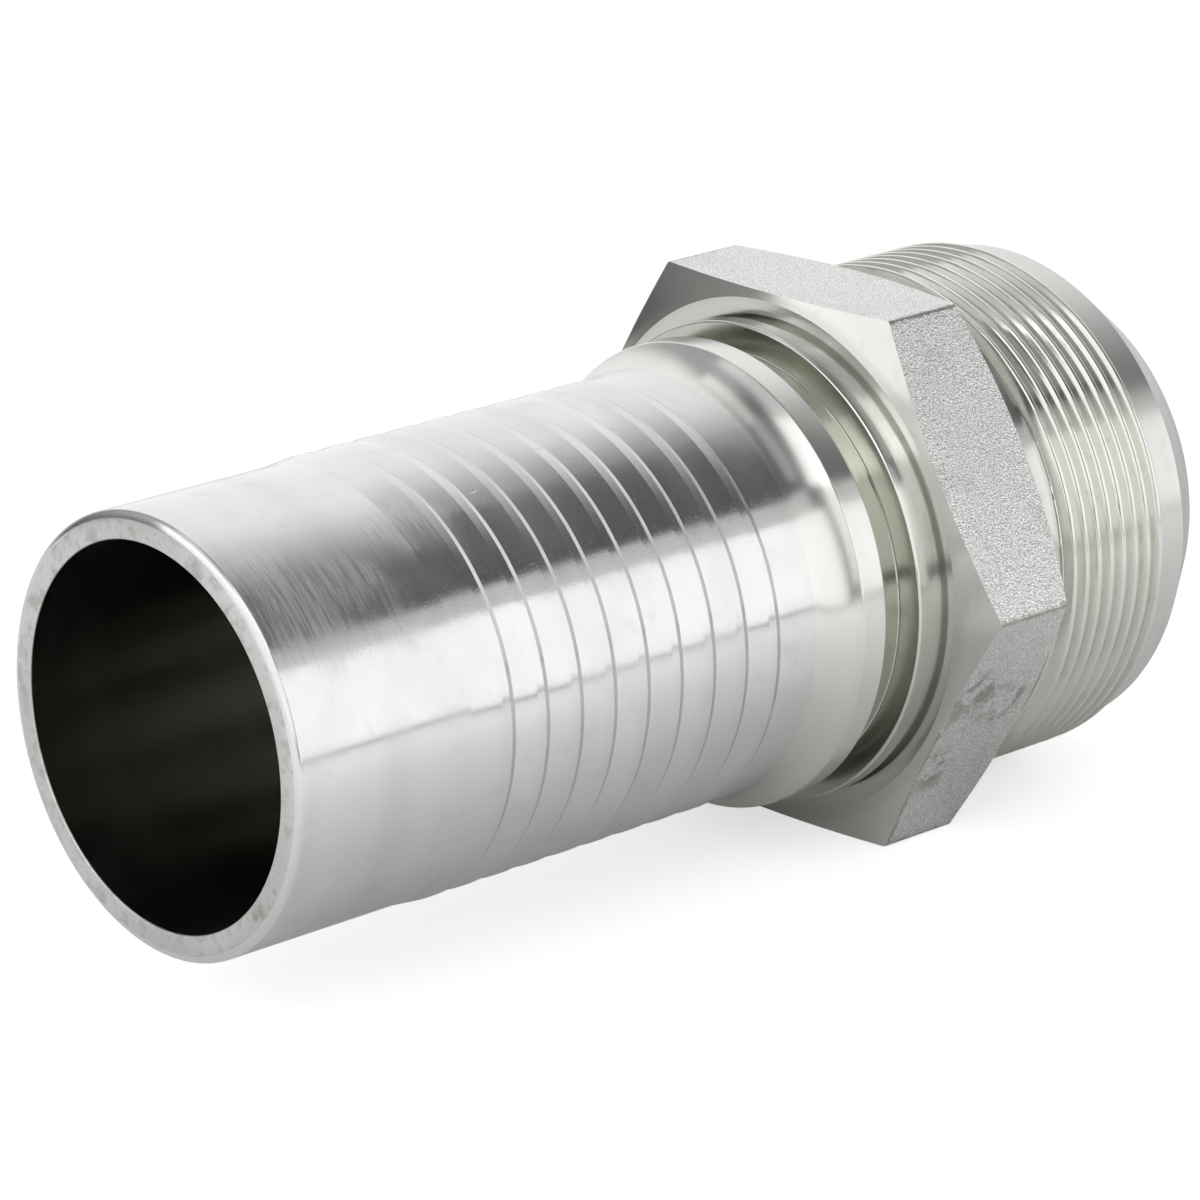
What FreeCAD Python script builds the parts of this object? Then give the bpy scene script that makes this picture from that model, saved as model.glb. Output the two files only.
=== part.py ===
import FreeCAD, Part
import os
import Sketcher

# One-piece male hose fitting for a two inch hydraulic hose, turned from hexagon bar.
# The axis of turning is X: the hose end is at x = 0 and the flared, threaded end points to +X.
# One flat of the hexagon faces straight down.

# How a sketch names its own axes and the points of an edge.
ORIGIN = -1
VERTICAL = -2
START = 1
END = 2
CENTRE = 3

# Driving dimensions in millimetres, and angles in degrees.
DIMENSIONS = {
    "bore_diameter": 44.4,
    # hose tail: a plain nose, then teeth that let the hose slide on and keep it from coming off
    "nose_diameter": 51.0,
    "nose_length": 24.2,
    "nose_chamfer": 0.8,
    "crest_diameter": 51.8,
    "first_ramp_length": 5.3,
    "tooth_count": 9,
    "tooth_pitch": 5.0,
    "tooth_depth": 0.35,
    "tooth_back_length": 0.8,
    "last_ramp_length": 5.3,
    # collar: a bead with a long fillet in front, a groove for the ferrule's lip, and a shoulder
    "bead_diameter": 56.5,
    "bead_width": 3.45,
    "bead_flank_angle": 45,
    "bead_round": 1.1,
    "groove_diameter": 51.8,
    "groove_width": 4.3,
    "shoulder_diameter": 58.6,
    "shoulder_width": 2.3,
    "undercut_width": 1.2,
    "undercut_depth": 0.6,
    # hexagon, with its corners turned off at both faces
    "hex_across_flats": 65.0,
    "hex_width": 15.0,
    "hex_front_circle": 63.0,
    "hex_front_angle": 15,
    "hex_back_circle": 63.8,
    "hex_back_angle": 24,
    # threaded end: the thread is a plain cylinder of its outside diameter
    "neck_diameter": 60.6,
    "neck_width": 4.0,
    "neck_wall_run": 0.4,
    "thread_diameter": 63.5,
    "thread_length": 15.8,
    "thread_end_run": 0.75,
    "lead_diameter": 61.0,
    "lead_length": 4.2,
    # flare seat, whose angle is measured from the axis
    "seat_angle": 37,
    "seat_length": 7.7,
}

# Places along the axis and radii, worked out from the dimensions.
STATIONS = {
    # hose tail
    "nose_radius": "nose_diameter / 2",
    "nose_face_radius": "nose_radius - nose_chamfer",
    "crest_radius": "crest_diameter / 2",
    "root_radius": "crest_radius - tooth_depth",
    "first_crest": "nose_length + first_ramp_length",
    "first_root": "first_crest + tooth_back_length",
    "second_crest": "first_crest + tooth_pitch",
    "last_crest": "first_crest + (tooth_count - 1) * tooth_pitch",
    "last_root": "last_crest + tooth_back_length",
    # the gap behind the last tooth is longer, so the pattern leaves it out
    "pattern_length": "(tooth_count - 2) * tooth_pitch",
    # the bead's fillet starts where the last ramp ends, and meets its round on a line of the flank angle
    "fillet_start": "last_root + last_ramp_length",
    "bead_radius": "bead_diameter / 2",
    "bead_rise": "bead_radius - crest_radius",
    "bead_fillet": "bead_rise / (1 - cos(bead_flank_angle)) - bead_round",
    "fillet_centre": "crest_radius + bead_fillet",
    "flank_place": "fillet_start + bead_fillet * sin(bead_flank_angle)",
    "flank_radius": "crest_radius + bead_fillet * (1 - cos(bead_flank_angle))",
    "bead_centre": "bead_radius - bead_round",
    "bead_start": "flank_place + bead_round * sin(bead_flank_angle)",
    "bead_end": "bead_start + bead_width",
    "groove_radius": "groove_diameter / 2",
    "groove_end": "bead_end + groove_width",
    "shoulder_radius": "shoulder_diameter / 2",
    "shoulder_end": "groove_end + shoulder_width",
    "undercut_radius": "shoulder_radius - undercut_depth",
    # hexagon, and the cuts at its corners, which reach well past them
    "hex_start": "shoulder_end + undercut_width",
    "hex_end": "hex_start + hex_width",
    "hex_corner_radius": "hex_across_flats / sqrt(3)",
    "hex_front_radius": "hex_front_circle / 2",
    "hex_back_radius": "hex_back_circle / 2",
    "cut_radius": "hex_across_flats",
    "front_cut_end": "hex_start + (cut_radius - hex_front_radius) * tan(hex_front_angle)",
    "back_cut_start": "hex_end - (cut_radius - hex_back_radius) * tan(hex_back_angle)",
    # threaded end and seat
    "neck_radius": "neck_diameter / 2",
    "neck_end": "hex_end + neck_width",
    "thread_radius": "thread_diameter / 2",
    "thread_start": "neck_end + neck_wall_run",
    "thread_end": "thread_start + thread_length",
    "lead_radius": "lead_diameter / 2",
    "lead_start": "thread_end + thread_end_run",
    "lead_end": "lead_start + lead_length",
    "overall_length": "lead_end + seat_length",
    "tip_radius": "lead_radius - seat_length * tan(seat_angle)",
}


def makeSheet(doc):
    sheet = doc.addObject("Spreadsheet::Sheet", "sizes")
    row = 1
    for name, value in DIMENSIONS.items():
        sheet.set("A%d" % row, name)
        sheet.set("B%d" % row, str(value))
        sheet.setAlias("B%d" % row, name)
        row += 1
    for name, formula in STATIONS.items():
        sheet.set("A%d" % row, name)
        sheet.set("B%d" % row, "=" + formula)
        sheet.setAlias("B%d" % row, name)
        row += 1
    doc.recompute()
    return sheet


def bind(thing, prop, name):
    thing.setExpression(prop, "sizes." + name)


def newSketch(body, name, planeRole):
    plane = [f for f in body.Origin.OriginFeatures if f.Role == planeRole][0]
    sketch = body.newObject("Sketcher::SketchObject", name)
    sketch.AttachmentSupport = [(plane, "")]
    sketch.MapMode = "FlatFace"
    return sketch


def holdDistance(sketch, edge, point, kind, name):
    # kind is DistanceX or DistanceY, and name is the size in the sheet that it follows
    value = sketch.Document.sizes.get(name)
    number = sketch.addConstraint(Sketcher.Constraint(kind, ORIGIN, START, edge, point, value))
    bind(sketch, "Constraints[%d]" % number, name)


def holdPoint(sketch, edge, point, place, radius):
    # place is None in the plane of the hose end, and radius is None on the axis
    if place is None:
        sketch.addConstraint(Sketcher.Constraint("PointOnObject", edge, point, VERTICAL))
    else:
        holdDistance(sketch, edge, point, "DistanceX", place)
    if radius is None:
        sketch.addConstraint(Sketcher.Constraint("PointOnObject", edge, point, ORIGIN))
    else:
        holdDistance(sketch, edge, point, "DistanceY", radius)


def drawProfile(sketch, corners):
    # A corner is the place and radius where an edge ends. A third item makes that edge an arc:
    # the place and radius of its centre, and the side it turns to.
    sheet = sketch.Document.sizes

    def vector(place, radius):
        return FreeCAD.Vector(sheet.get(place) if place else 0, sheet.get(radius) if radius else 0, 0)

    edges = []
    for number, corner in enumerate(corners):
        start = vector(*corners[number - 1][:2])
        end = vector(*corner[:2])
        if len(corner) == 2:
            edge = sketch.addGeometry(Part.LineSegment(start, end), False)
            edges.append((edge, START, END))
            continue
        centrePlace, centreRadius, side = corner[2]
        centre = vector(centrePlace, centreRadius)
        circle = Part.Circle(centre, FreeCAD.Vector(0, 0, 1), (end - centre).Length)
        if side == "left":
            arc = Part.ArcOfCircle(circle, circle.parameter(start), circle.parameter(end))
            edges.append((sketch.addGeometry(arc, False), START, END))
        else:
            arc = Part.ArcOfCircle(circle, circle.parameter(end), circle.parameter(start))
            edges.append((sketch.addGeometry(arc, False), END, START))

    for number, (edge, first, last) in enumerate(edges):
        before, beforeFirst, beforeLast = edges[number - 1]
        sketch.addConstraint(Sketcher.Constraint("Coincident", before, beforeLast, edge, first))
    for (edge, first, last), corner in zip(edges, corners):
        holdPoint(sketch, edge, last, corner[0], corner[1])
        if len(corner) == 3:
            holdDistance(sketch, edge, CENTRE, "DistanceY", corner[2][1])


def turn(body, kind, name, sketch):
    feature = body.newObject("PartDesign::" + kind, name)
    feature.Profile = sketch
    feature.ReferenceAxis = (sketch, ["H_Axis"])
    feature.Angle = 360
    sketch.Visibility = False
    body.Document.recompute()
    return feature


# Hexagon bar, with two corners level so that one flat faces down.
def makeHexagon(body):
    sheet = body.Document.sizes
    sketch = newSketch(body, "hexSection", "YZ_Plane")
    bind(sketch, "AttachmentOffset.Base.z", "hex_start")
    radius = sheet.get("hex_corner_radius")
    corner = FreeCAD.Vector(radius, 0, 0)
    upwards = FreeCAD.Vector(0, 0, 1)
    corners = [FreeCAD.Rotation(upwards, 60 * side).multVec(corner) for side in range(6)]
    sides = [sketch.addGeometry(Part.LineSegment(corners[side - 1], corners[side]), False)
             for side in range(6)]
    circle = sketch.addGeometry(Part.Circle(FreeCAD.Vector(), upwards, radius), True)
    sketch.addConstraint(Sketcher.Constraint("Coincident", circle, CENTRE, ORIGIN, START))
    number = sketch.addConstraint(Sketcher.Constraint("Radius", circle, radius))
    bind(sketch, "Constraints[%d]" % number, "hex_corner_radius")
    for side in range(6):
        sketch.addConstraint(Sketcher.Constraint("Coincident", sides[side - 1], END, sides[side], START))
        sketch.addConstraint(Sketcher.Constraint("PointOnObject", sides[side], END, circle))
    for side in range(1, 6):
        sketch.addConstraint(Sketcher.Constraint("Equal", sides[0], sides[side]))
    sketch.addConstraint(Sketcher.Constraint("PointOnObject", sides[0], END, ORIGIN))
    pad = body.newObject("PartDesign::Pad", "hexBar")
    pad.Profile = sketch
    bind(pad, "Length", "hex_width")
    sketch.Visibility = False
    body.Document.recompute()


# A lathe tool takes the hexagon's corners off at a slant, at both of its faces.
def cutHexCorners(body):
    front = newSketch(body, "frontCornerCut", "XZ_Plane")
    drawProfile(front, [
        ("hex_start", "hex_front_radius"),
        ("front_cut_end", "cut_radius"),
        ("hex_start", "cut_radius"),
    ])
    turn(body, "Groove", "frontCorners", front)
    back = newSketch(body, "backCornerCut", "XZ_Plane")
    drawProfile(back, [
        ("hex_end", "hex_back_radius"),
        ("hex_end", "cut_radius"),
        ("back_cut_start", "cut_radius"),
    ])
    turn(body, "Groove", "backCorners", back)


# Everything that is turned round, apart from the teeth, as one profile above the axis.
def turnOutside(body):
    sketch = newSketch(body, "turnedProfile", "XZ_Plane")
    drawProfile(sketch, [
        (None, None),
        (None, "nose_face_radius"),
        ("nose_chamfer", "nose_radius"),
        ("nose_length", "nose_radius"),
        ("first_crest", "crest_radius"),
        ("fillet_start", "crest_radius"),
        ("flank_place", "flank_radius", ("fillet_start", "fillet_centre", "left")),
        ("bead_start", "bead_radius", ("bead_start", "bead_centre", "right")),
        ("bead_end", "bead_radius"),
        ("bead_end", "groove_radius"),
        ("groove_end", "groove_radius"),
        ("groove_end", "shoulder_radius"),
        ("shoulder_end", "shoulder_radius"),
        ("shoulder_end", "undercut_radius"),
        ("hex_end", "undercut_radius"),
        ("hex_end", "neck_radius"),
        ("neck_end", "neck_radius"),
        ("thread_start", "thread_radius"),
        ("thread_end", "thread_radius"),
        ("lead_start", "lead_radius"),
        ("lead_end", "lead_radius"),
        ("overall_length", "tip_radius"),
        ("overall_length", None),
    ])
    turn(body, "Revolution", "turnedOutside", sketch)


# The teeth are what stays between grooves that drop steeply and then rise slowly towards the hexagon.
def cutTeeth(body):
    first = newSketch(body, "toothGap", "XZ_Plane")
    drawProfile(first, [
        ("first_crest", "crest_radius"),
        ("first_root", "root_radius"),
        ("second_crest", "crest_radius"),
    ])
    gap = turn(body, "Groove", "firstToothGap", first)
    gaps = body.newObject("PartDesign::LinearPattern", "toothGaps")
    gaps.Originals = [gap]
    gaps.Direction = (first, ["H_Axis"])
    bind(gaps, "Length", "pattern_length")
    gaps.setExpression("Occurrences", "sizes.tooth_count - 1")
    body.Tip = gaps
    body.Document.recompute()
    last = newSketch(body, "lastToothGap", "XZ_Plane")
    drawProfile(last, [
        ("last_crest", "crest_radius"),
        ("last_root", "root_radius"),
        ("fillet_start", "crest_radius"),
    ])
    turn(body, "Groove", "lastGap", last)


def boreThrough(body):
    sketch = newSketch(body, "boreCircle", "YZ_Plane")
    diameter = body.Document.sizes.get("bore_diameter")
    circle = sketch.addGeometry(
        Part.Circle(FreeCAD.Vector(), FreeCAD.Vector(0, 0, 1), diameter / 2), False)
    sketch.addConstraint(Sketcher.Constraint("Coincident", circle, CENTRE, ORIGIN, START))
    number = sketch.addConstraint(Sketcher.Constraint("Diameter", circle, diameter))
    bind(sketch, "Constraints[%d]" % number, "bore_diameter")
    pocket = body.newObject("PartDesign::Pocket", "bore")
    pocket.Profile = sketch
    pocket.Type = "ThroughAll"
    pocket.Reversed = True
    sketch.Visibility = False
    body.Document.recompute()


def makeFitting(doc):
    body = doc.addObject("PartDesign::Body", "fitting")
    body.Label = "hose_fitting"
    body.Placement = FreeCAD.Placement()
    steps = (
        (makeHexagon, "adds"),
        (cutHexCorners, "cuts"),
        (turnOutside, "adds"),
        (cutTeeth, "cuts"),
        (boreThrough, "cuts"),
    )
    volume = 0.0
    for step, effect in steps:
        step(body)
        change = body.Shape.Volume - volume
        volume = body.Shape.Volume
        print("%-14s %s %.0f cubic mm" % (step.__name__, effect, abs(change)))
        if (change > 0) != (effect == "adds"):
            raise RuntimeError(step.__name__ + " should have been a step that " + effect)
    return body


def checkDocument(doc):
    for thing in doc.Objects:
        if "Invalid" in thing.State or "Error" in thing.State:
            raise RuntimeError(thing.Name + " failed to build")


def writeParts(bodies):
    os.makedirs("parts", exist_ok=True)
    for body in bodies:
        shape = body.Shape
        if shape.isNull() or not shape.isValid() or len(shape.Solids) != 1:
            raise RuntimeError(body.Label + " is not one valid solid")
        shape.exportStep("parts/%s.step" % body.Label)
        box = shape.optimalBoundingBox()
        print("%s: %.1f x %.1f x %.1f mm" % (body.Label, box.XLength, box.YLength, box.ZLength))


doc = FreeCAD.newDocument("hose_fitting")
makeSheet(doc)
fitting = makeFitting(doc)
doc.recompute()
checkDocument(doc)
writeParts([fitting])
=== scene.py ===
import bpy
import bmesh
from math import sin, cos, tan, sqrt, pi, radians, floor
from mathutils import Matrix, Vector


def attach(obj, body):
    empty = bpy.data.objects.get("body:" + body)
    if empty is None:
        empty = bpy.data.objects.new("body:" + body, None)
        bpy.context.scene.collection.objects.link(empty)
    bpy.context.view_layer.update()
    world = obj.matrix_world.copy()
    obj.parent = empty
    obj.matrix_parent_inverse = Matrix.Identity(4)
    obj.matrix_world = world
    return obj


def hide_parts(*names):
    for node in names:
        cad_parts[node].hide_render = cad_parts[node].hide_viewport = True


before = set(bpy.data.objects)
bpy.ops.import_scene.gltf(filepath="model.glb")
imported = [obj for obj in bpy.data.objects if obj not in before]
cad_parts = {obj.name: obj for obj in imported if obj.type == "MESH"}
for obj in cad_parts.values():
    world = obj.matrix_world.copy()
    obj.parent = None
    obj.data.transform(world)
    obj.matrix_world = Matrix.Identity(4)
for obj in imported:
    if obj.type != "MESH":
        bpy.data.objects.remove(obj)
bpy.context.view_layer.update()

# Hydraulic hose fitting, turned from hexagon bar. X runs along the bore from the hose end, Z is up.
# Lengths in the dictionaries are millimetres, and everything in the scene is metres.
mm = 0.001
print("frame loaded")


# small helpers for node trees
def wire(tree, socket, value):
    if isinstance(value, bpy.types.NodeSocket):
        tree.links.new(value, socket)
    else:
        socket.default_value = value


def add(tree, kind, inputs=None, **settings):
    made = tree.nodes.new("ShaderNode" + kind)
    for name, value in settings.items():
        setattr(made, name, value)
    for name, value in (inputs or {}).items():
        wire(tree, made.inputs[name], value)
    return made


def calc(tree, operation, *values):
    return add(tree, "Math", dict(enumerate(values)), operation=operation).outputs[0]


def remap(tree, value, fromLow, fromHigh, toLow=0.0, toHigh=1.0):
    # a soft step, so masks have no hard corners
    made = add(tree, "MapRange", {"Value": value, "From Min": fromLow, "From Max": fromHigh,
                                  "To Min": toLow, "To Max": toHigh}, interpolation_type="SMOOTHSTEP")
    return made.outputs["Result"]


def times(tree, first, second):
    return calc(tree, "MULTIPLY", first, second)


def blend(tree, factor, first, second):
    # a colour is a socket, or its red, green and blue
    made = add(tree, "Mix", data_type="RGBA")
    for number, value in ((0, factor), (6, first), (7, second)):
        wire(tree, made.inputs[number], value + (1,) if isinstance(value, tuple) else value)
    return made.outputs[2]


def objectPlace(tree):
    return add(tree, "TexCoord").outputs["Object"]


def objectAxes(tree):
    return add(tree, "SeparateXYZ", {0: objectPlace(tree)}).outputs


def placeInSteps(tree, size):
    # the place on the object, counted in steps of a size in millimetres
    return add(tree, "VectorMath", {0: objectPlace(tree), "Scale": calc(tree, "DIVIDE", 1 / mm, size)},
               operation="SCALE").outputs[0]


def axisDistance(tree, y, z):
    return calc(tree, "SQRT", calc(tree, "ADD", times(tree, y, y), times(tree, z, z)))


def newGroup(name, inputs, outputs):
    tree = bpy.data.node_groups.new(name, "ShaderNodeTree")
    for label, default in inputs.items():
        kind = "NodeSocketVector" if isinstance(default, tuple) else "NodeSocketFloat"
        tree.interface.new_socket(label, in_out="INPUT", socket_type=kind).default_value = default
    for label in outputs:
        tree.interface.new_socket(label, in_out="OUTPUT", socket_type="NodeSocketFloat")
    return tree, tree.nodes.new("NodeGroupInput").outputs, tree.nodes.new("NodeGroupOutput").inputs


def useGroup(tree, group, **values):
    made = tree.nodes.new("ShaderNodeGroup")
    made.node_tree = group
    for label, value in values.items():
        wire(tree, made.inputs[label], value)
    return made.outputs


# effects that the finishes share
def turningGroup():
    # what a lathe tool leaves: rings round the axis, that break up along their length
    tree, given, out = newGroup("turningLines", {"Spacing": 0.4, "Length": 30.0, "Shift": 0.0},
                                ["Height", "Streaks"])
    x, y, z = objectAxes(tree)
    across = calc(tree, "ADD", x, axisDistance(tree, y, z))  # so that rings show on faces and on cylinders
    across = calc(tree, "DIVIDE", across, times(tree, given["Spacing"], mm))
    around = times(tree, given["Length"], mm)
    rings = add(tree, "CombineXYZ", {0: calc(tree, "ADD", across, given["Shift"]),
                                     1: calc(tree, "DIVIDE", y, around), 2: calc(tree, "DIVIDE", z, around)})
    fine = add(tree, "TexNoise", {"Vector": rings.outputs[0], "Scale": 1.0, "Detail": 2.0, "Roughness": 0.65})
    broad = add(tree, "TexNoise", {"Vector": rings.outputs[0], "Scale": 0.16, "Detail": 1.0})
    tree.links.new(fine.outputs[0], out["Height"])
    tree.links.new(remap(tree, broad.outputs[0], 0.38, 0.66), out["Streaks"])
    return tree


def patchGroup():
    # handling marks and thin plating: soft blotches of one size
    tree, given, out = newGroup("patches", {"Size": 12.0, "Low": 0.45, "High": 0.65, "Shift": (0, 0, 0)},
                                ["Mask"])
    moved = add(tree, "VectorMath", {0: placeInSteps(tree, given["Size"]), 1: given["Shift"]},
                operation="ADD").outputs[0]
    noise = add(tree, "TexNoise", {"Vector": moved, "Scale": 1.0, "Detail": 3.0, "Roughness": 0.6})
    tree.links.new(remap(tree, noise.outputs[0], given["Low"], given["High"]), out["Mask"])
    return tree


def grainGroup():
    # the skin of drawn and blasted bar: rounded pits of about one size, with finer grit between
    tree, given, out = newGroup("grain", {"Size": 0.6}, ["Height", "Pits"])
    place = placeInSteps(tree, given["Size"])
    grit = add(tree, "TexNoise", {"Vector": place, "Scale": 1.0, "Detail": 1.0, "Roughness": 0.6}).outputs[0]
    pits = add(tree, "TexVoronoi", {"Vector": place, "Scale": 0.7}).outputs["Distance"]
    tree.links.new(calc(tree, "ADD", grit, times(tree, pits, 0.6)), out["Height"])
    tree.links.new(remap(tree, grit, 0.4, 0.62), out["Pits"])
    return tree


def dentGroup():
    # one knock or stain: 1 in its middle, 0 from its size outwards, with a rim that a noise makes ragged
    tree, given, out = newGroup("dent", {"Place": (0, 0, 0), "Size": 0.5, "Ragged": 0.5}, ["Mask"])
    place = placeInSteps(tree, 1.0)
    away = add(tree, "VectorMath", {0: place, 1: given["Place"]}, operation="DISTANCE").outputs["Value"]
    raggedness = 1.6
    outside = 1 + raggedness / 2  # the noise is a half on average
    share = calc(tree, "DIVIDE", away, given["Size"])
    share = calc(tree, "MULTIPLY_ADD", given["Ragged"], raggedness, share)
    tree.links.new(remap(tree, share, outside, 1.0), out["Mask"])
    return tree


def speckGroup():
    # pinholes and grit in the plating, scattered singly
    tree, given, out = newGroup("specks", {"Size": 0.3, "Share": 0.3}, ["Mask"])
    noise = add(tree, "TexNoise", {"Vector": placeInSteps(tree, given["Size"]), "Scale": 1.0,
                                   "Detail": 0.0}).outputs[0]
    # the larger the share, the lower the level of the noise from which a speck shows
    low = calc(tree, "MULTIPLY_ADD", given["Share"], -0.3, 0.76)
    tree.links.new(remap(tree, noise, low, calc(tree, "ADD", low, 0.1)), out["Mask"])
    return tree


turningLines = turningGroup()
patches = patchGroup()
grain = grainGroup()
dent = dentGroup()
specks = speckGroup()
print("shared effects built")


# finishes: lengths in millimetres, and amounts from 0 to 1
def newMetal(name, finish):
    material = bpy.data.materials.new(name)
    material.use_nodes = True
    tree = material.node_tree
    shader = tree.nodes["Principled BSDF"]
    shader.inputs["Metallic"].default_value = 1.0
    shader.inputs["Anisotropic"].default_value = finish["anisotropy"]
    shader.inputs["Anisotropic Rotation"].default_value = 0.25  # highlights spread across the rings
    around = add(tree, "Tangent", direction_type="RADIAL", axis="X")
    tree.links.new(around.outputs[0], shader.inputs["Tangent"])
    return material, tree, shader


def bump(tree, shader, height, depth):
    made = add(tree, "Bump", {"Height": height, "Strength": 1.0, "Distance": depth * mm})
    tree.links.new(made.outputs[0], shader.inputs["Normal"])


def spots(tree, places):
    # the masks of a list of places and sizes, as one mask
    firstSize = places[0][1] * mm
    ragged = add(tree, "TexNoise", {"Vector": objectPlace(tree), "Scale": 1.6 / firstSize,
                                    "Detail": 2.0}).outputs[0]
    mask = 0.0
    for place, size in places:
        one = useGroup(tree, dent, Place=place, Size=size, Ragged=ragged)["Mask"]
        mask = calc(tree, "MAXIMUM", mask, one)
    return mask


def cornerWear(tree, finish):
    # 1 along the hexagon's long edges and the front edge of its lower flats, with a ragged border
    x, y, z = objectAxes(tree)
    width = finish["edgeWidth"] * mm
    turn = calc(tree, "WRAP", calc(tree, "ARCTAN2", z, y), pi / 6, -pi / 6)
    radius = axisDistance(tree, y, z)
    aside = calc(tree, "DIVIDE", times(tree, calc(tree, "ABSOLUTE", turn), radius), width)
    edge = calc(tree, "MULTIPLY_ADD", radius, tan(radians(finish["frontAngle"])), finish["frontTip"] * mm)
    behind = calc(tree, "DIVIDE", calc(tree, "SUBTRACT", x, edge), width * 1.5)
    low, high = finish["lowerFlats"]
    clean = 6.0  # in edge widths, further than the dirt reaches
    behind = calc(tree, "ADD", behind, remap(tree, z, low * mm, high * mm, 0.0, clean))
    aside = calc(tree, "MINIMUM", aside, behind)
    ragged = add(tree, "TexNoise", {"Vector": objectPlace(tree), "Scale": 1.3 / mm, "Detail": 4.0,
                                    "Roughness": 0.7}).outputs[0]
    raggedness = 4.0
    outside = 3.2
    return remap(tree, calc(tree, "MULTIPLY_ADD", ragged, raggedness, aside), outside, outside - 1)


# handling marks: depths, how far stains and scratches go towards the mark colour, and the levels of the noise
# between which the metal gets worn or dark
handling = {
    "knockDepth": 0.02, "stainShare": 0.6,
    "scratchSpacing": 0.4, "scratchLength": 6.0, "scratchDepth": 0.001, "scratchShare": 0.4,
    "wornLevels": (0.42, 0.60), "darkLevels": (0.44, 0.36),
    "rubbedRoughness": 0.10, "scratchRoughness": 0.08,
}


def turnedMetal(name, finish, dents=(), stains=(), rubbed=()):
    material, tree, shader = newMetal(name, finish)
    spacing = finish["spacing"]
    length = finish["length"]
    depth = finish["depth"]
    cloudSize = finish["cloudSize"]
    lines = useGroup(tree, turningLines, Spacing=spacing, Length=length)
    coarse = useGroup(tree, turningLines, Spacing=spacing * 4, Length=length / 2, Shift=7.0)
    cloud = useGroup(tree, patches, Size=cloudSize, Low=0.42, High=0.68)["Mask"]
    marks = useGroup(tree, patches, Size=cloudSize * 0.3, Low=0.55, High=0.75, Shift=(3.0, 1.0, 5.0))["Mask"]
    streaks = times(tree, coarse["Streaks"], finish["streaks"])
    dull = calc(tree, "MAXIMUM", times(tree, cloud, finish["clouds"]), streaks)
    colour = blend(tree, dull, finish["colour"], finish["dullColour"])
    colour = blend(tree, times(tree, marks, finish["marks"]), colour, finish["markColour"])
    rough = remap(tree, dull, 0.0, 1.0, finish["roughness"], finish["dullRoughness"])
    height = calc(tree, "ADD", lines["Height"], times(tree, coarse["Height"], finish["coarse"]))
    if finish["specks"]:
        pinholes = useGroup(tree, specks, Size=finish["speckSize"], Share=finish["specks"])["Mask"]
        height = calc(tree, "SUBTRACT", height, times(tree, pinholes, finish["speckDepth"] / depth))
    if dents:
        knocks = times(tree, spots(tree, dents), handling["knockDepth"] / depth)
        height = calc(tree, "SUBTRACT", height, knocks)
    if stains:
        stained = times(tree, spots(tree, stains), handling["stainShare"])
        colour = blend(tree, stained, colour, finish["markColour"])
    if rubbed:
        # short scratches round the axis, where the end has been handled
        scratches = useGroup(tree, turningLines, Spacing=handling["scratchSpacing"],
                             Length=handling["scratchLength"], Shift=31.0)["Height"]
        area = spots(tree, rubbed)
        worn = times(tree, remap(tree, scratches, *handling["wornLevels"]), area)
        dark = times(tree, remap(tree, scratches, *handling["darkLevels"]), area)
        height = calc(tree, "SUBTRACT", height, times(tree, worn, handling["scratchDepth"] / depth))
        colour = blend(tree, times(tree, dark, handling["scratchShare"]), colour, finish["markColour"])
        rough = calc(tree, "MULTIPLY_ADD", area, handling["rubbedRoughness"], rough)
        rough = calc(tree, "MULTIPLY_ADD", worn, handling["scratchRoughness"], rough)
    tree.links.new(colour, shader.inputs["Base Color"])
    tree.links.new(rough, shader.inputs["Roughness"])
    bump(tree, shader, height, depth)
    return material


def blastedMetal(name, finish, scuffed):
    # the bar's own skin on the flats, with dirty corners, and scuffs at the given places
    material, tree, shader = newMetal(name, finish)
    skin = useGroup(tree, grain, Size=finish["grainSize"])
    cloud = useGroup(tree, patches, Size=finish["cloudSize"], Low=0.48, High=0.7)["Mask"]
    smudge = useGroup(tree, patches, Size=finish["smudgeSize"], Low=0.56, High=0.72,
                      Shift=(2.0, 9.0, 4.0))["Mask"]
    smudge = times(tree, smudge, finish["smudges"])
    worn = times(tree, cornerWear(tree, finish), finish["edgeDirt"])
    scuffs = useGroup(tree, patches, Size=finish["scuffSize"], Low=0.43, High=0.56,
                      Shift=(5.0, 2.0, 7.0))["Mask"]
    scuffs = times(tree, scuffs, spots(tree, scuffed))
    dirt = calc(tree, "MAXIMUM", worn, times(tree, scuffs, finish["scuffDirt"]))
    colour = blend(tree, skin["Pits"], finish["colour"], finish["pitColour"])
    colour = blend(tree, calc(tree, "MAXIMUM", smudge, dirt), colour, finish["smudgeColour"])
    rough = remap(tree, cloud, 0.0, 1.0, finish["roughness"], finish["dullRoughness"])
    tree.links.new(colour, shader.inputs["Base Color"])
    tree.links.new(rough, shader.inputs["Roughness"])
    bump(tree, shader, skin["Height"], finish["depth"])
    return material


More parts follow.
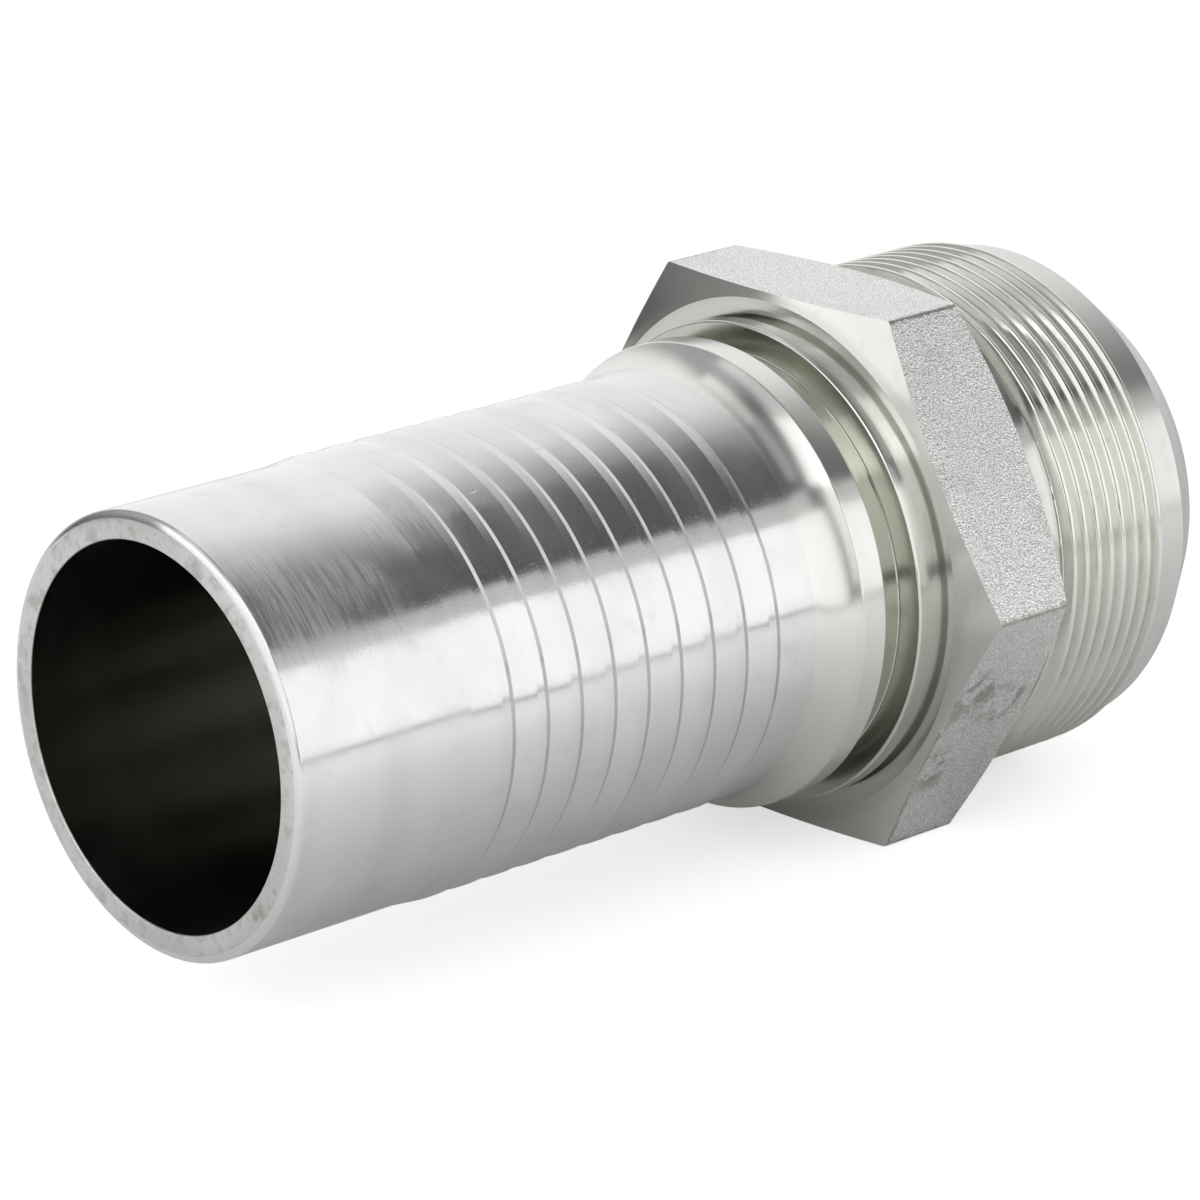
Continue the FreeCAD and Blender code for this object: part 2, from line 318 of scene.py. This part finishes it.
tailFinish = {
    "colour": (0.70, 0.702, 0.695), "dullColour": (0.61, 0.61, 0.60), "markColour": (0.44, 0.44, 0.43),
    "roughness": 0.15, "dullRoughness": 0.24, "anisotropy": 0.7,
    "spacing": 0.35, "length": 40.0, "coarse": 1.5, "depth": 0.0014,
    "cloudSize": 16.0, "clouds": 0.6, "streaks": 0.5, "marks": 0.2,
    "specks": 0.3, "speckSize": 0.25, "speckDepth": 0.003,
}
rimFinish = {
    "colour": (0.64, 0.642, 0.63), "dullColour": (0.46, 0.46, 0.445), "markColour": (0.28, 0.25, 0.20),
    "roughness": 0.28, "dullRoughness": 0.42, "anisotropy": 0.3,
    "spacing": 0.30, "length": 8.0, "coarse": 2.0, "depth": 0.006,
    "cloudSize": 2.5, "clouds": 0.9, "streaks": 0.5, "marks": 0.5,
    "specks": 0.3, "speckSize": 0.4, "speckDepth": 0.02,
}
beadFinish = {
    "colour": (0.72, 0.72, 0.70), "dullColour": (0.63, 0.63, 0.605), "markColour": (0.50, 0.49, 0.45),
    "roughness": 0.20, "dullRoughness": 0.28, "anisotropy": 0.8,
    "spacing": 0.30, "length": 60.0, "coarse": 2.0, "depth": 0.0022,
    "cloudSize": 16.0, "clouds": 0.4, "streaks": 0.7, "marks": 0.15, "specks": 0,
}
collarFinish = {
    "colour": (0.73, 0.73, 0.695), "dullColour": (0.58, 0.58, 0.54), "markColour": (0.45, 0.44, 0.39),
    "roughness": 0.13, "dullRoughness": 0.24, "anisotropy": 0.6,
    "spacing": 0.25, "length": 60.0, "coarse": 2.5, "depth": 0.0036,
    "cloudSize": 14.0, "clouds": 0.5, "streaks": 0.9, "marks": 0.25, "specks": 0,
}
# darker colours than the collar's: painted shade in the groove, standing in for the shade that falls inside
# it
grooveShadedFinish = {
    "colour": (0.58, 0.58, 0.53), "dullColour": (0.46, 0.46, 0.41), "markColour": (0.34, 0.33, 0.28),
    "roughness": 0.15, "dullRoughness": 0.26, "anisotropy": 0.6,
    "spacing": 0.25, "length": 60.0, "coarse": 2.5, "depth": 0.0036,
    "cloudSize": 12.0, "clouds": 0.5, "streaks": 0.9, "marks": 0.3, "specks": 0,
}
faceFinish = {
    "colour": (0.665, 0.665, 0.642), "dullColour": (0.56, 0.56, 0.53), "markColour": (0.42, 0.40, 0.35),
    "roughness": 0.13, "dullRoughness": 0.22, "anisotropy": 0.6,
    "spacing": 0.22, "length": 80.0, "coarse": 2.2, "depth": 0.0032,
    "cloudSize": 18.0, "clouds": 0.5, "streaks": 0.8, "marks": 0.2, "specks": 0,
}
neckFinish = {
    "colour": (0.72, 0.715, 0.70), "dullColour": (0.52, 0.52, 0.50), "markColour": (0.42, 0.41, 0.38),
    "roughness": 0.12, "dullRoughness": 0.26, "anisotropy": 0.6,
    "spacing": 0.28, "length": 60.0, "coarse": 2.5, "depth": 0.0035,
    "cloudSize": 12.0, "clouds": 0.5, "streaks": 1.0, "marks": 0.3, "specks": 0,
}
threadFinish = {
    "colour": (0.74, 0.74, 0.70), "dullColour": (0.64, 0.64, 0.59), "markColour": (0.50, 0.47, 0.42),
    "roughness": 0.11, "dullRoughness": 0.22, "anisotropy": 0.3,
    "spacing": 0.3, "length": 50.0, "coarse": 1.5, "depth": 0.0016,
    "cloudSize": 9.0, "clouds": 0.6, "streaks": 0.6, "marks": 0.3, "specks": 0,
}
leadFinish = {
    "colour": (0.68, 0.682, 0.665), "dullColour": (0.60, 0.60, 0.58), "markColour": (0.48, 0.47, 0.44),
    "roughness": 0.18, "dullRoughness": 0.28, "anisotropy": 0.6,
    "spacing": 0.3, "length": 50.0, "coarse": 1.8, "depth": 0.0022,
    "cloudSize": 12.0, "clouds": 0.5, "streaks": 0.7, "marks": 0.2, "specks": 0,
}
seatFinish = {
    "colour": (0.53, 0.532, 0.52), "dullColour": (0.45, 0.45, 0.44), "markColour": (0.36, 0.35, 0.33),
    "roughness": 0.23, "dullRoughness": 0.33, "anisotropy": 0.6,
    "spacing": 0.25, "length": 50.0, "coarse": 1.8, "depth": 0.0026,
    "cloudSize": 12.0, "clouds": 0.5, "streaks": 0.7, "marks": 0.2, "specks": 0,
}
boreFinish = {
    "colour": (0.44, 0.45, 0.413), "dullColour": (0.345, 0.355, 0.323), "markColour": (0.46, 0.45, 0.405),
    "roughness": 0.15, "dullRoughness": 0.22, "anisotropy": 0.4,
    "spacing": 0.5, "length": 25.0, "coarse": 2.0, "depth": 0.003,
    "cloudSize": 14.0, "clouds": 0.7, "streaks": 0.7, "marks": 0.5,
    "specks": 0.12, "speckSize": 0.5, "speckDepth": 0.012,
}
flatFinish = {
    "colour": (0.79, 0.79, 0.78), "pitColour": (0.42, 0.42, 0.41), "smudgeColour": (0.26, 0.25, 0.235),
    "roughness": 0.26, "dullRoughness": 0.34, "anisotropy": 0.0, "grainSize": 0.17, "depth": 0.036,
    "cloudSize": 15.0, "smudgeSize": 6.0, "smudges": 0.15, "scuffSize": 2.2, "scuffDirt": 0.8,
    "edgeWidth": 0.45, "edgeDirt": 0.8, "frontTip": 84.08, "frontAngle": 15, "lowerFlats": (-16, -10),
}


def onTail(along, angle, radius=25.9):
    # a point of the tail in millimetres; the angle goes up from the side that faces the camera
    return (along, -radius * cos(radians(angle)), radius * sin(radians(angle)))


# places of the marks that the photograph shows, each with its size
tailDents = [
    (onTail(49.2, 69.5), 0.7), (onTail(48.6, 70.2), 0.5), (onTail(36.6, 63), 0.5), (onTail(60.2, 71), 0.7),
    (onTail(60.8, 70), 0.4), (onTail(73.0, 82), 0.45), (onTail(25.8, 86), 0.45), (onTail(29.8, 83), 0.5),
]
noseRubbed = [(onTail(6, 46), 11.0), (onTail(15, 46), 10.0), (onTail(25, 58), 6.5)]
rimStains = [((0, -20.7, -12.0), 0.5), ((0, -18.2, -15.0), 1.3), ((0, -17.2, -15.8), 0.9)]
flatScuffs = [((96.8, -31.0, -11.3), 6.0), ((103.0, -29.7, -13.8), 5.0), ((95.5, -25.0, -21.5), 4.5)]
finishes = {
    "tail": turnedMetal("turnedTail", tailFinish, dents=tailDents, rubbed=noseRubbed),
    "rim": turnedMetal("scuffedRim", rimFinish, stains=rimStains),
    "bead": turnedMetal("turnedBead", beadFinish),
    "collar": turnedMetal("turnedCollar", collarFinish),
    "groove": turnedMetal("turnedGroovePaintedShade", grooveShadedFinish),
    "face": turnedMetal("turnedFace", faceFinish),
    "flat": blastedMetal("barSkin", flatFinish, flatScuffs),
    "neck": turnedMetal("turnedNeck", neckFinish),
    "thread": turnedMetal("cutThread", threadFinish),
    "lead": turnedMetal("turnedLead", leadFinish),
    "seat": turnedMetal("turnedSeat", seatFinish),
    "bore": turnedMetal("oiledBore", boreFinish),
}
finishNames = list(finishes)
print("finishes built")

# the fitting, as rings of points round the axis
tail = {
    "bore": 22.2, "rimBreak": 0.2, "noseRadius": 25.5, "noseFall": 1.6, "noseDepth": 0.7, "noseEnd": 24.2,
    "crestRadius": 25.9, "rootRadius": 25.55, "crestWidth": 1.1, "backLength": 0.8,
    "firstCrest": 28.4, "pitch": 5.0, "count": 9, "filletStart": 75.6, "boreStep": 35,
}
collar = {
    "beadRadius": 28.25, "beadRound": 0.45, "flankAngle": 45, "beadWidth": 3.45,
    "grooveRadius": 25.9, "grooveWidth": 4.3, "grooveCorner": 0.25,
    "shoulderRadius": 29.3, "shoulderWidth": 2.3, "edgeRound": 0.3,
    "undercutWidth": 1.2, "undercutDepth": 0.6,
}
hexagon = {
    "flats": 65.0, "width": 15.0, "cornerRound": 0.5,
    "frontCircle": 31.5, "frontAngle": 15, "backCircle": 31.9, "backAngle": 24,
}
threaded = {
    "neckRadius": 30.3, "neckWidth": 4.0, "neckWall": 0.4, "neckCorner": 0.3,
    "major": 31.75, "minor": 30.5, "pitch": 63.5 / 30, "phase": 0.9, "length": 15.8, "endRun": 0.75,
    "crestFlat": 0.03, "crestRound": 0.4, "rootRound": 0.06,
    "leadLength": 4.2, "seatLength": 7.7, "seatAngle": 37, "tipRound": 0.5, "mouthBreak": 0.3,
}
flankTurn = radians(60)  # the thread's sides lean 30 degrees from square
roundSum = threaded["crestRound"] + threaded["rootRound"]
flankDepth = threaded["major"] - threaded["minor"] - roundSum * (1 - cos(flankTurn))
flankWidth = flankDepth / tan(flankTurn)
rootFlat = threaded["pitch"] / 2 - threaded["crestFlat"] - roundSum * sin(flankTurn) - flankWidth
beadRise = collar["beadRadius"] - tail["crestRadius"]
beadFillet = beadRise / (1 - cos(radians(collar["flankAngle"]))) - collar["beadRound"]
beadStart = tail["filletStart"] + (beadFillet + collar["beadRound"]) * sin(radians(collar["flankAngle"]))
beadEnd = beadStart + collar["beadWidth"]
grooveEnd = beadEnd + collar["grooveWidth"]
shoulderEnd = grooveEnd + collar["shoulderWidth"]
hexStart = shoulderEnd + collar["undercutWidth"]
hexEnd = hexStart + hexagon["width"]
neckEnd = hexEnd + threaded["neckWidth"]
threadStart = neckEnd + threaded["neckWall"]
threadEnd = threadStart + threaded["length"]
leadStart = threadEnd + threaded["endRun"]
leadEnd = leadStart + threaded["leadLength"]
overall = leadEnd + threaded["seatLength"]


def ringAngles():
    # even steps, and closer together at the hexagon's corners; 0 is +Y and 90 is up
    steps = 240
    angles = [360 / steps * step for step in range(steps + 1)]
    for corner in range(0, 361, 60):
        for offset in (-0.38, -0.25, -0.12, 0.12, 0.25, 0.38):
            if 0 < corner + offset < 360:
                angles.append(corner + offset)
    return sorted(angles)


def arc(x, r, radius, first, last, steps):
    # angles in degrees, from +X towards larger radii
    return [(x + radius * cos(radians(first + (last - first) * n / steps)),
             r + radius * sin(radians(first + (last - first) * n / steps))) for n in range(steps + 1)]


def hexRadius(angle):
    # distance from the axis to the hexagon, with its corners rounded
    apothem = hexagon["flats"] / 2
    offset = (angle + 30) % 60 - 30  # degrees from the nearest corner
    middle = (apothem - hexagon["cornerRound"]) / cos(radians(30))
    along = middle * cos(radians(offset))
    aside = middle * sin(radians(offset))
    rounded = hexagon["cornerRound"] ** 2 - aside ** 2
    if abs(offset) < 0.39 and rounded > 0:  # as far round as the corner's round reaches
        return along + sqrt(rounded)
    return apothem / cos(radians(30 - abs(offset)))


def frontEdge(angle):
    reach = hexRadius(angle)
    return hexStart + (reach - hexagon["frontCircle"]) * tan(radians(hexagon["frontAngle"])), reach


def backEdge(angle):
    reach = hexRadius(angle)
    return hexEnd - (reach - hexagon["backCircle"]) * tan(radians(hexagon["backAngle"])), reach


def slope(away, flat, radius):
    # how far the side has gone up or down at a distance from the middle of a crest or root
    over = away - flat
    arcWidth = radius * sin(flankTurn)
    if over <= 0:
        return 0.0
    if over < arcWidth:
        return radius - sqrt(radius ** 2 - over ** 2)
    return radius * (1 - cos(flankTurn)) + (over - arcWidth) * tan(flankTurn)


def threadRadius(x, angle):
    # the ridge's height at a place on the thread, cut off at both ends of the threaded length
    h = threaded
    turn = (x - threadStart) / h["pitch"] - angle / 360 - h["phase"]
    away = abs(turn - floor(turn + 0.5)) * h["pitch"]
    crest = h["major"] - slope(away, h["crestFlat"], h["crestRound"])
    root = h["minor"] + slope(h["pitch"] / 2 - away, rootFlat, h["rootRound"])
    ridge = crest if away < h["pitch"] / 4 else root
    wall = h["neckRadius"] + (x - neckEnd) * (h["major"] - h["neckRadius"]) / h["neckWall"]
    end = h["minor"] + (leadStart - x) * (h["major"] - h["minor"]) / h["endRun"]
    return min(ridge, wall, end)


def threadRow(turn):
    def place(angle):
        x = threadStart + threaded["pitch"] * (turn + threaded["phase"] + angle / 360)
        x = min(max(x, neckEnd), leadStart)
        return x, threadRadius(x, angle)
    return place


def threadRows():
    # rows follow the ridge round the thread: over its rounded crest, down its sides and through the root
    h = threaded
    pitch = h["pitch"]
    crest = [h["crestFlat"] + h["crestRound"] * sin(radians(turn)) for turn in (0, 15, 30, 45, 60)]
    root = [pitch / 2 - rootFlat - h["rootRound"] * sin(radians(turn)) for turn in (60, 0)]
    side = crest + root
    shares = [-away / pitch for away in reversed(side)] + [away / pitch for away in side]
    spare = 3  # turns past both ends, which the neck and the lead cut off
    turns = int((leadStart - neckEnd) / pitch) + spare
    return [threadRow(turn + share) for turn in range(-spare, turns) for share in shares]


def noseRows(turns):
    # the nose is rounded further in across its face than along its side
    rows = []
    for turn in turns:
        x = tail["noseDepth"] * (1 - cos(radians(turn)))
        rows.append((x, tail["noseRadius"] - tail["noseFall"] * (1 - sin(radians(turn)))))
    return rows


def tailSections():
    t = tail
    sections = [
        ("rim", arc(t["rimBreak"], t["bore"] + t["rimBreak"], t["rimBreak"], 270, 180, 3)),
        ("rim", noseRows((0, 8, 16, 24))),
        ("tail", noseRows((32, 40, 47, 54, 60, 66, 71, 76, 80, 84, 87, 90))),
        ("tail", [(t["noseEnd"], t["noseRadius"])]),
    ]
    for number in range(t["count"]):
        crest = t["firstCrest"] + number * t["pitch"]
        crestEnd = crest + t["crestWidth"]
        sections.append(("tail", [(crest, t["crestRadius"]), (crestEnd, t["crestRadius"]),
                                  (crestEnd + t["backLength"], t["rootRadius"])]))
    sections.append(("tail", [(t["filletStart"], t["crestRadius"])]))
    return sections


def collarSections():
    c = collar
    edge = c["edgeRound"]
    corner = c["grooveCorner"]
    flank = c["flankAngle"]
    filletMiddle = tail["crestRadius"] + beadFillet
    return [
        ("bead", arc(tail["filletStart"], filletMiddle, beadFillet, 270, 270 + flank, 11)),
        ("bead", arc(beadStart, c["beadRadius"] - c["beadRound"], c["beadRound"], 90 + flank, 90, 11)),
        ("bead", arc(beadEnd - edge, c["beadRadius"] - edge, edge, 90, 0, 5)),
        ("groove", arc(beadEnd + corner, c["grooveRadius"] + corner, corner, 180, 270, 4)),
        ("groove", arc(grooveEnd - corner, c["grooveRadius"] + corner, corner, 270, 360, 4)),
        ("groove", [(grooveEnd, c["shoulderRadius"] - edge)]),
        ("collar", arc(grooveEnd + edge, c["shoulderRadius"] - edge, edge, 180, 90, 5)),
        ("collar", [(shoulderEnd, c["shoulderRadius"]),
                    (shoulderEnd, c["shoulderRadius"] - c["undercutDepth"]),
                    (hexStart, c["shoulderRadius"] - c["undercutDepth"])]),
    ]


def hexSections():
    return [
        ("face", [(hexStart, hexagon["frontCircle"])]),
        ("face", [frontEdge]),
        ("flat", [backEdge]),
        ("face", [(hexEnd, hexagon["backCircle"])]),
    ]


def threadSections():
    h = threaded
    tip = h["tipRound"]
    lean = radians(h["seatAngle"])
    tipCentre = overall - tip
    tipMiddle = h["minor"] - (tipCentre - leadEnd) * tan(lean) - tip / cos(lean)
    corner = h["neckCorner"]
    return [
        ("face", arc(hexEnd + corner, h["neckRadius"] + corner, corner, 180, 270, 4)),
        ("neck", [(neckEnd, h["neckRadius"])]),
        ("thread", threadRows()),
        ("lead", [(leadStart, h["minor"]), (leadEnd, h["minor"])]),
        ("seat", arc(tipCentre, tipMiddle, tip, 90 - h["seatAngle"], 0, 6)),
        ("seat", arc(overall - h["mouthBreak"], tail["bore"] + h["mouthBreak"], h["mouthBreak"], 0, -90, 3)),
        ("bore", [(overall - tail["boreStep"] * step, tail["bore"]) for step in range(1, 4)]),
        ("bore", [(tail["rimBreak"], tail["bore"])]),
    ]


def makeFitting(sections):
    mesh = bpy.data.meshes.new("hoseFitting")
    build = bmesh.new()
    angles = ringAngles()
    previous = None
    for finish, stations in sections:
        for station in stations:
            ring = []
            for angle in angles:
                x, r = station(angle) if callable(station) else station
                turn = radians(angle)
                ring.append(build.verts.new((x * mm, r * cos(turn) * mm, r * sin(turn) * mm)))
            if previous:
                for n in range(len(angles) - 1):
                    skin = build.faces.new((previous[n], previous[n + 1], ring[n + 1], ring[n]))
                    skin.material_index = finishNames.index(finish)
                    skin.smooth = True
            previous = ring
    merge = 0.002 * mm
    bmesh.ops.remove_doubles(build, verts=build.verts, dist=merge)
    bmesh.ops.dissolve_degenerate(build, edges=build.edges, dist=merge)
    bmesh.ops.recalc_face_normals(build, faces=build.faces)
    build.to_mesh(mesh)
    build.free()
    mesh.set_sharp_from_angle(angle=radians(5))
    fitting = bpy.data.objects.new("hoseFitting", mesh)
    bpy.context.scene.collection.objects.link(fitting)
    for name in finishNames:
        mesh.materials.append(finishes[name])
    return fitting


fitting = makeFitting(tailSections() + collarSections() + hexSections() + threadSections())
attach(fitting, "root")
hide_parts("hose_fitting")
print("fitting built with", len(fitting.data.polygons), "faces")


# studio: a white table, a soft box in front, a bright wall behind and a dark ceiling
studio = {
    "tableHeight": -hexagon["flats"] / 2 - 0.02, "tableNear": -270, "tableFar": 500, "tableSide": 2200,
    # metalGlow is the table's glow seen in metal; shadeReach and shadeFront bound the fitting's painted
    # shadow in it, and backGlow is the share that the painted shade leaves at the back
    "tableColour": 0.83, "tableGlow": 0.57, "metalGlow": 0.34, "backGlow": 0.6,
    "shadeReach": (15, 150), "shadeFront": 30, "plainFront": -45, "plainBack": 170,
    "ceiling": 0.11, "wall": 1.12, "wallDirection": (0.80, 0.60, 0.0), "wallSoft": (0.28, 0.78),
    "far": 0.5, "farDirection": (-0.50, 0.75, 0.43), "farSoft": (0.85, 1.0),
    "cornice": 0.45, "corniceDirection": (0.0, 0.65, 0.76), "corniceSoft": (0.80, 0.96),
}


def tableLight(tree):
    # the white that the camera sees on the table; metal and glass see it too, with a painted shadow of the
    # fitting and painted shade towards the back
    path = add(tree, "LightPath").outputs
    mirrored = calc(tree, "MAXIMUM", path["Is Glossy Ray"], path["Is Transmission Ray"])
    x, y, z = objectAxes(tree)
    near, far = studio["shadeReach"]
    front = calc(tree, "SUBTRACT", studio["shadeFront"] * mm, x)
    away = calc(tree, "MAXIMUM", calc(tree, "ABSOLUTE", y), front)
    # painted shadow: 0 near the fitting, where the glow seen in metal is taken away, and 1 beyond the shade's
    # reach
    outsidePaintedShadow = add(tree, "MapRange", {"Value": away, "From Min": near * mm, "From Max": far * mm}).outputs[0]
    # painted shade: the glow seen in metal fades towards the back of the table
    behind = remap(tree, y, 0.0, far * mm, studio["metalGlow"], studio["metalGlow"] * studio["backGlow"])
    shaded = times(tree, times(tree, mirrored, outsidePaintedShadow), behind)
    return calc(tree, "MAXIMUM", times(tree, path["Is Camera Ray"], studio["tableGlow"]), shaded)


def makeTable():
    mesh = bpy.data.meshes.new("table")
    side = studio["tableSide"] * mm
    near = studio["tableNear"] * mm
    far = studio["tableFar"] * mm
    z = studio["tableHeight"] * mm
    corners = [(-side, near, z), (side, near, z), (side, far, z), (-side, far, z)]
    mesh.from_pydata(corners, [], [(0, 1, 2, 3)])
    table = bpy.data.objects.new("table", mesh)
    bpy.context.scene.collection.objects.link(table)
    material = bpy.data.materials.new("whiteTable")
    material.use_nodes = True
    tree = material.node_tree
    shader = tree.nodes["Principled BSDF"]
    shader.inputs["Base Color"].default_value = (studio["tableColour"],) * 3 + (1,)
    shader.inputs["Roughness"].default_value = 0.9
    shader.inputs["Specular IOR Level"].default_value = 0.0
    glow = add(tree, "Emission", {"Color": (1, 1, 1, 1), "Strength": tableLight(tree)})
    both = add(tree, "AddShader", {0: shader.outputs[0], 1: glow.outputs[0]})
    # past the fitting's shadow the camera sees plain white
    plain = add(tree, "Emission", {"Color": (1, 1, 1, 1), "Strength": 1.0})
    y = objectAxes(tree)["Y"]
    front = calc(tree, "LESS_THAN", y, studio["plainFront"] * mm)
    back = calc(tree, "GREATER_THAN", y, studio["plainBack"] * mm)
    camera = add(tree, "LightPath").outputs["Is Camera Ray"]
    seen = times(tree, calc(tree, "MAXIMUM", front, back), camera)
    surface = add(tree, "MixShader", {0: seen, 1: both.outputs[0], 2: plain.outputs[0]})
    tree.links.new(surface.outputs[0], tree.nodes["Material Output"].inputs["Surface"])
    mesh.materials.append(material)


def makeWorld():
    world = bpy.data.worlds.new("studio")
    bpy.context.scene.world = world
    world.use_nodes = True
    tree = world.node_tree
    background = tree.nodes["Background"]
    direction = add(tree, "TexCoord").outputs["Generated"]
    light = studio["ceiling"]
    for name in ("wall", "far", "cornice"):
        towards = Vector(studio[name + "Direction"]).normalized()
        facing = add(tree, "VectorMath", {0: direction, 1: towards}, operation="DOT_PRODUCT").outputs["Value"]
        low, high = studio[name + "Soft"]
        bright = remap(tree, facing, low, high, studio["ceiling"], studio[name])
        light = calc(tree, "MAXIMUM", light, bright)
    camera = add(tree, "LightPath").outputs["Is Camera Ray"]
    level = calc(tree, "MAXIMUM", times(tree, light, calc(tree, "SUBTRACT", 1.0, camera)), camera)
    tree.links.new(level, background.inputs["Strength"])
    background.inputs["Color"].default_value = (1, 1, 1, 1)


def makeLamp(name, place, target, width, height, brightness, seenInMetal=True):
    # a white rectangle that faces its target; seen straight on, a brightness of 1 is plain white
    data = bpy.data.lights.new(name, "AREA")
    data.shape = "RECTANGLE"
    data.size = width * mm
    data.size_y = height * mm
    data.energy = brightness * pi * data.size * data.size_y
    lamp = bpy.data.objects.new(name, data)
    lamp.location = Vector(place) * mm
    aim = (Vector(target) - Vector(place)).to_track_quat("-Z", "Y")
    lamp.rotation_euler = aim.to_euler()
    lamp.visible_glossy = seenInMetal
    bpy.context.scene.collection.objects.link(lamp)


# the camera, fitted to the photograph: it turns from +Y towards +X by heading, then dips and tilts
view = {
    "place": (-333.7, -445.9, 202.2), "heading": 41.851, "dip": 18.609, "tilt": -0.596,
    "sensor": 36, "lens": 162.63, "nearest": 10,
}


def makeCamera():
    data = bpy.data.cameras.new("camera")
    data.sensor_width = view["sensor"]
    data.lens = view["lens"]
    data.clip_start = view["nearest"] * mm
    camera = bpy.data.objects.new("camera", data)
    heading = Matrix.Rotation(-radians(view["heading"]), 4, "Z")
    dip = Matrix.Rotation(pi / 2 - radians(view["dip"]), 4, "X")
    tilt = Matrix.Rotation(radians(view["tilt"]), 4, "Z")
    camera.matrix_world = Matrix.Translation(Vector(view["place"]) * mm) @ heading @ dip @ tilt
    bpy.context.scene.collection.objects.link(camera)
    bpy.context.scene.camera = camera


makeTable()
makeWorld()
# each lamp's place, target, width, height and brightness
makeLamp("softBox", (705, -900, 294), (705, 0, 294), 2090, 792, 1.25)
makeLamp("softBoxRim", (850, -900, 850), (850, 0, 850), 1700, 300, 0.6)
makeLamp("leftBox", (-850, 65, 290), (130, 265, 290), 2090, 630, 1.2)
makeLamp("leftBoxTop", (-751, -419, 742), (229, -219, 742), 1102, 275, 1.2)
makeLamp("leftBackBox", (-670, 400, 500), (90, 0, 30), 600, 450, 0.5)
makeLamp("leftTopFront", (-570, -450, 900), (-570, -450, 0), 780, 720, 1.3)
makeLamp("leftTopBack", (-570, 247, 900), (-570, 247, 0), 780, 675, 0.6)
makeLamp("topFront", (255, -363, 900), (255, -363, 0), 290, 625, 0.42)
makeLamp("topBack", (305, 245, 900), (305, 245, 0), 270, 590, 0.7)
makeLamp("topLight", (100, 900, 1500), (100, 0, 0), 1600, 1600, 0.35, seenInMetal=False)
print("studio built")
makeCamera()
bpy.context.scene.view_settings.view_transform = "Standard"
print("camera set")
